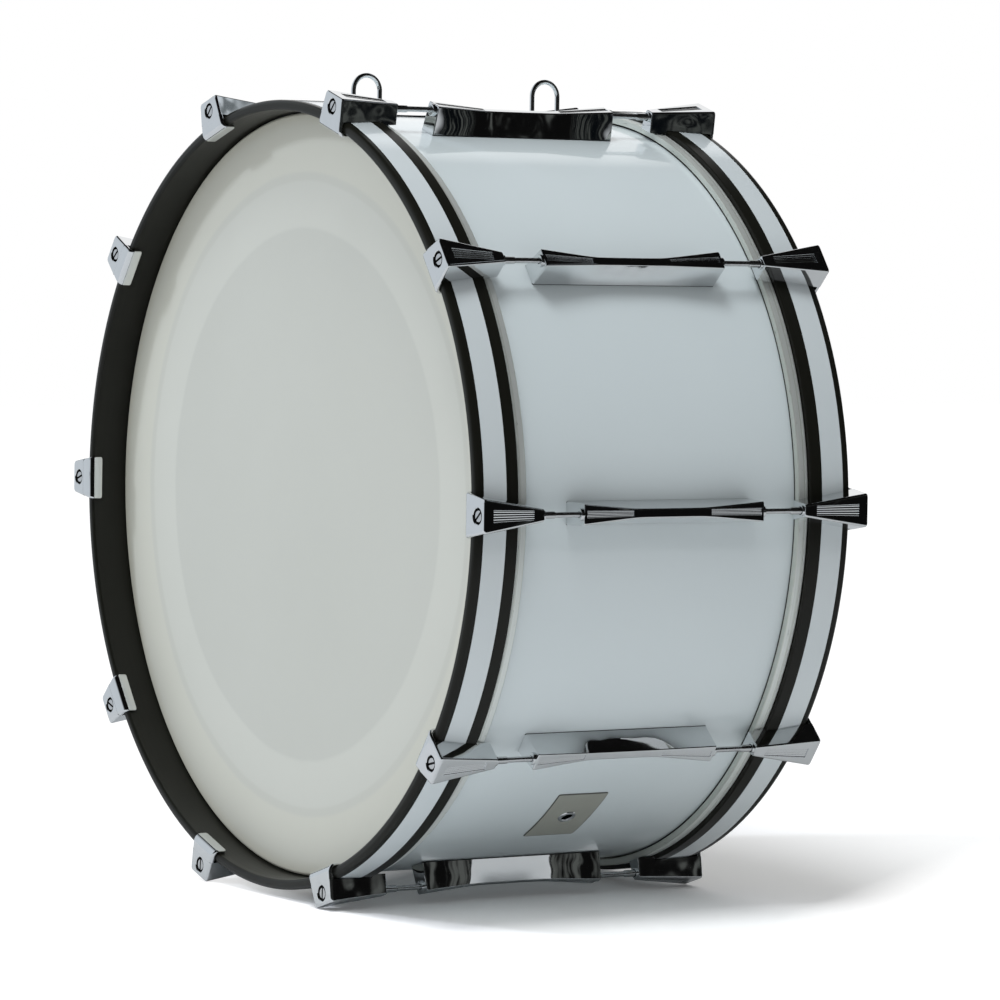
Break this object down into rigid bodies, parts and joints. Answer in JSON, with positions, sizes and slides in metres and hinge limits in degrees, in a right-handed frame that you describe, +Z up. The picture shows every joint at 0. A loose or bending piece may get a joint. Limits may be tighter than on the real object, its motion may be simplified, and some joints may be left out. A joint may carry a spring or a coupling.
{
  "type": "marching bass drum",
  "caption": "Wide shallow drum with two heads, counter hoops held by hooked claws and slotted tension rods, long bow-tie lugs and wire carrying eyes.",
  "frame": {"origin": "middle of the object's box, on the ground that its lowest claws touch", "axes": "+Z up, +Y along the drum's axis from the front head to the back head, +X to the right as seen from the front"},
  "size_m": [0.7216, 0.3816, 0.7116],
  "materials": {
    "shell_lacquer": "wooden shell under a glossy white lacquer with a cool cast",
    "head_film": "coated translucent white film, satin",
    "hoop_lacquer": "wooden counter hoop under black satin lacquer",
    "stripe_inlay": "glossy white inlay",
    "chrome": "die casting or wire with bright chrome plating",
    "rod_steel": "plated steel, slightly dull",
    "plate_metal": "bare satin plate, nothing printed on it"
  },
  "bodies": {
    "drum_body": {"shell": "shell_lacquer", "front_head": "head_film", "back_head": "head_film", "lug_01": "chrome", "lug_02": "chrome", "lug_03": "chrome", "lug_04": "chrome", "lug_05": "chrome", "lug_06": "chrome", "lug_07": "chrome", "lug_08": "chrome", "lug_09": "chrome", "lug_10": "chrome", "front_carrying_eye": "chrome", "back_carrying_eye": "chrome", "vent_plate": "plate_metal"},
    "front_rim": {"front_hoop": "hoop_lacquer", "front_hoop_stripe": "stripe_inlay", "front_claw_01": "chrome", "front_claw_02": "chrome", "front_claw_03": "chrome", "front_claw_04": "chrome", "front_claw_05": "chrome", "front_claw_06": "chrome", "front_claw_07": "chrome", "front_claw_08": "chrome", "front_claw_09": "chrome", "front_claw_10": "chrome"},
    "front_tension_rod_01": {"front_rod_01": "rod_steel"},
    "front_tension_rod_02": {"front_rod_02": "rod_steel"},
    "front_tension_rod_03": {"front_rod_03": "rod_steel"},
    "front_tension_rod_04": {"front_rod_04": "rod_steel"},
    "front_tension_rod_05": {"front_rod_05": "rod_steel"},
    "front_tension_rod_06": {"front_rod_06": "rod_steel"},
    "front_tension_rod_07": {"front_rod_07": "rod_steel"},
    "front_tension_rod_08": {"front_rod_08": "rod_steel"},
    "front_tension_rod_09": {"front_rod_09": "rod_steel"},
    "front_tension_rod_10": {"front_rod_10": "rod_steel"},
    "back_rim": {"back_hoop": "hoop_lacquer", "back_hoop_stripe": "stripe_inlay", "back_claw_01": "chrome", "back_claw_02": "chrome", "back_claw_03": "chrome", "back_claw_04": "chrome", "back_claw_05": "chrome", "back_claw_06": "chrome", "back_claw_07": "chrome", "back_claw_08": "chrome", "back_claw_09": "chrome", "back_claw_10": "chrome"},
    "back_tension_rod_01": {"back_rod_01": "rod_steel"},
    "back_tension_rod_02": {"back_rod_02": "rod_steel"},
    "back_tension_rod_03": {"back_rod_03": "rod_steel"},
    "back_tension_rod_04": {"back_rod_04": "rod_steel"},
    "back_tension_rod_05": {"back_rod_05": "rod_steel"},
    "back_tension_rod_06": {"back_rod_06": "rod_steel"},
    "back_tension_rod_07": {"back_rod_07": "rod_steel"},
    "back_tension_rod_08": {"back_rod_08": "rod_steel"},
    "back_tension_rod_09": {"back_rod_09": "rod_steel"},
    "back_tension_rod_10": {"back_rod_10": "rod_steel"}
  },
  "joints": [
    {"name": "front_rim_slide", "type": "slide", "parent": "drum_body", "child": "front_rim", "axis": [0, -1, 0], "range_m": [0, 0.006]},
    {"name": "front_rod_01_turn", "type": "hinge", "parent": "front_rim", "child": "front_tension_rod_01", "pos_m": [0.10822, -0.1896, 0.68027], "axis": [0, -1, 0], "range_deg": [0, 2165]},
    {"name": "front_rod_02_turn", "type": "hinge", "parent": "front_rim", "child": "front_tension_rod_02", "pos_m": [0.28332, -0.1896, 0.55305], "axis": [0, -1, 0], "range_deg": [0, 2165]},
    {"name": "front_rod_03_turn", "type": "hinge", "parent": "front_rim", "child": "front_tension_rod_03", "pos_m": [0.3502, -0.1896, 0.34721], "axis": [0, -1, 0], "range_deg": [0, 2165]},
    {"name": "front_rod_04_turn", "type": "hinge", "parent": "front_rim", "child": "front_tension_rod_04", "pos_m": [0.28332, -0.1896, 0.14137], "axis": [0, -1, 0], "range_deg": [0, 2165]},
    {"name": "front_rod_05_turn", "type": "hinge", "parent": "front_rim", "child": "front_tension_rod_05", "pos_m": [0.10822, -0.1896, 0.01415], "axis": [0, -1, 0], "range_deg": [0, 2165]},
    {"name": "front_rod_06_turn", "type": "hinge", "parent": "front_rim", "child": "front_tension_rod_06", "pos_m": [-0.10822, -0.1896, 0.01415], "axis": [0, -1, 0], "range_deg": [0, 2165]},
    {"name": "front_rod_07_turn", "type": "hinge", "parent": "front_rim", "child": "front_tension_rod_07", "pos_m": [-0.28332, -0.1896, 0.14137], "axis": [0, -1, 0], "range_deg": [0, 2165]},
    {"name": "front_rod_08_turn", "type": "hinge", "parent": "front_rim", "child": "front_tension_rod_08", "pos_m": [-0.3502, -0.1896, 0.34721], "axis": [0, -1, 0], "range_deg": [0, 2165]},
    {"name": "front_rod_09_turn", "type": "hinge", "parent": "front_rim", "child": "front_tension_rod_09", "pos_m": [-0.28332, -0.1896, 0.55305], "axis": [0, -1, 0], "range_deg": [0, 2165]},
    {"name": "front_rod_10_turn", "type": "hinge", "parent": "front_rim", "child": "front_tension_rod_10", "pos_m": [-0.10822, -0.1896, 0.68027], "axis": [0, -1, 0], "range_deg": [0, 2165]},
    {"name": "back_rim_slide", "type": "slide", "parent": "drum_body", "child": "back_rim", "axis": [0, 1, 0], "range_m": [0, 0.006]},
    {"name": "back_rod_01_turn", "type": "hinge", "parent": "back_rim", "child": "back_tension_rod_01", "pos_m": [0.10822, 0.1896, 0.68027], "axis": [0, 1, 0], "range_deg": [0, 2165]},
    {"name": "back_rod_02_turn", "type": "hinge", "parent": "back_rim", "child": "back_tension_rod_02", "pos_m": [0.28332, 0.1896, 0.55305], "axis": [0, 1, 0], "range_deg": [0, 2165]},
    {"name": "back_rod_03_turn", "type": "hinge", "parent": "back_rim", "child": "back_tension_rod_03", "pos_m": [0.3502, 0.1896, 0.34721], "axis": [0, 1, 0], "range_deg": [0, 2165]},
    {"name": "back_rod_04_turn", "type": "hinge", "parent": "back_rim", "child": "back_tension_rod_04", "pos_m": [0.28332, 0.1896, 0.14137], "axis": [0, 1, 0], "range_deg": [0, 2165]},
    {"name": "back_rod_05_turn", "type": "hinge", "parent": "back_rim", "child": "back_tension_rod_05", "pos_m": [0.10822, 0.1896, 0.01415], "axis": [0, 1, 0], "range_deg": [0, 2165]},
    {"name": "back_rod_06_turn", "type": "hinge", "parent": "back_rim", "child": "back_tension_rod_06", "pos_m": [-0.10822, 0.1896, 0.01415], "axis": [0, 1, 0], "range_deg": [0, 2165]},
    {"name": "back_rod_07_turn", "type": "hinge", "parent": "back_rim", "child": "back_tension_rod_07", "pos_m": [-0.28332, 0.1896, 0.14137], "axis": [0, 1, 0], "range_deg": [0, 2165]},
    {"name": "back_rod_08_turn", "type": "hinge", "parent": "back_rim", "child": "back_tension_rod_08", "pos_m": [-0.3502, 0.1896, 0.34721], "axis": [0, 1, 0], "range_deg": [0, 2165]},
    {"name": "back_rod_09_turn", "type": "hinge", "parent": "back_rim", "child": "back_tension_rod_09", "pos_m": [-0.28332, 0.1896, 0.55305], "axis": [0, 1, 0], "range_deg": [0, 2165]},
    {"name": "back_rod_10_turn", "type": "hinge", "parent": "back_rim", "child": "back_tension_rod_10", "pos_m": [-0.10822, 0.1896, 0.68027], "axis": [0, 1, 0], "range_deg": [0, 2165]}
  ],
  "couplings": [
    {"joint": "front_rod_01_turn", "follows": "front_rim_slide", "rad_per_m": 6283.2},
    {"joint": "front_rod_02_turn", "follows": "front_rim_slide", "rad_per_m": 6283.2},
    {"joint": "front_rod_03_turn", "follows": "front_rim_slide", "rad_per_m": 6283.2},
    {"joint": "front_rod_04_turn", "follows": "front_rim_slide", "rad_per_m": 6283.2},
    {"joint": "front_rod_05_turn", "follows": "front_rim_slide", "rad_per_m": 6283.2},
    {"joint": "front_rod_06_turn", "follows": "front_rim_slide", "rad_per_m": 6283.2},
    {"joint": "front_rod_07_turn", "follows": "front_rim_slide", "rad_per_m": 6283.2},
    {"joint": "front_rod_08_turn", "follows": "front_rim_slide", "rad_per_m": 6283.2},
    {"joint": "front_rod_09_turn", "follows": "front_rim_slide", "rad_per_m": 6283.2},
    {"joint": "front_rod_10_turn", "follows": "front_rim_slide", "rad_per_m": 6283.2},
    {"joint": "back_rod_01_turn", "follows": "back_rim_slide", "rad_per_m": 6283.2},
    {"joint": "back_rod_02_turn", "follows": "back_rim_slide", "rad_per_m": 6283.2},
    {"joint": "back_rod_03_turn", "follows": "back_rim_slide", "rad_per_m": 6283.2},
    {"joint": "back_rod_04_turn", "follows": "back_rim_slide", "rad_per_m": 6283.2},
    {"joint": "back_rod_05_turn", "follows": "back_rim_slide", "rad_per_m": 6283.2},
    {"joint": "back_rod_06_turn", "follows": "back_rim_slide", "rad_per_m": 6283.2},
    {"joint": "back_rod_07_turn", "follows": "back_rim_slide", "rad_per_m": 6283.2},
    {"joint": "back_rod_08_turn", "follows": "back_rim_slide", "rad_per_m": 6283.2},
    {"joint": "back_rod_09_turn", "follows": "back_rim_slide", "rad_per_m": 6283.2},
    {"joint": "back_rod_10_turn", "follows": "back_rim_slide", "rad_per_m": 6283.2}
  ]
}
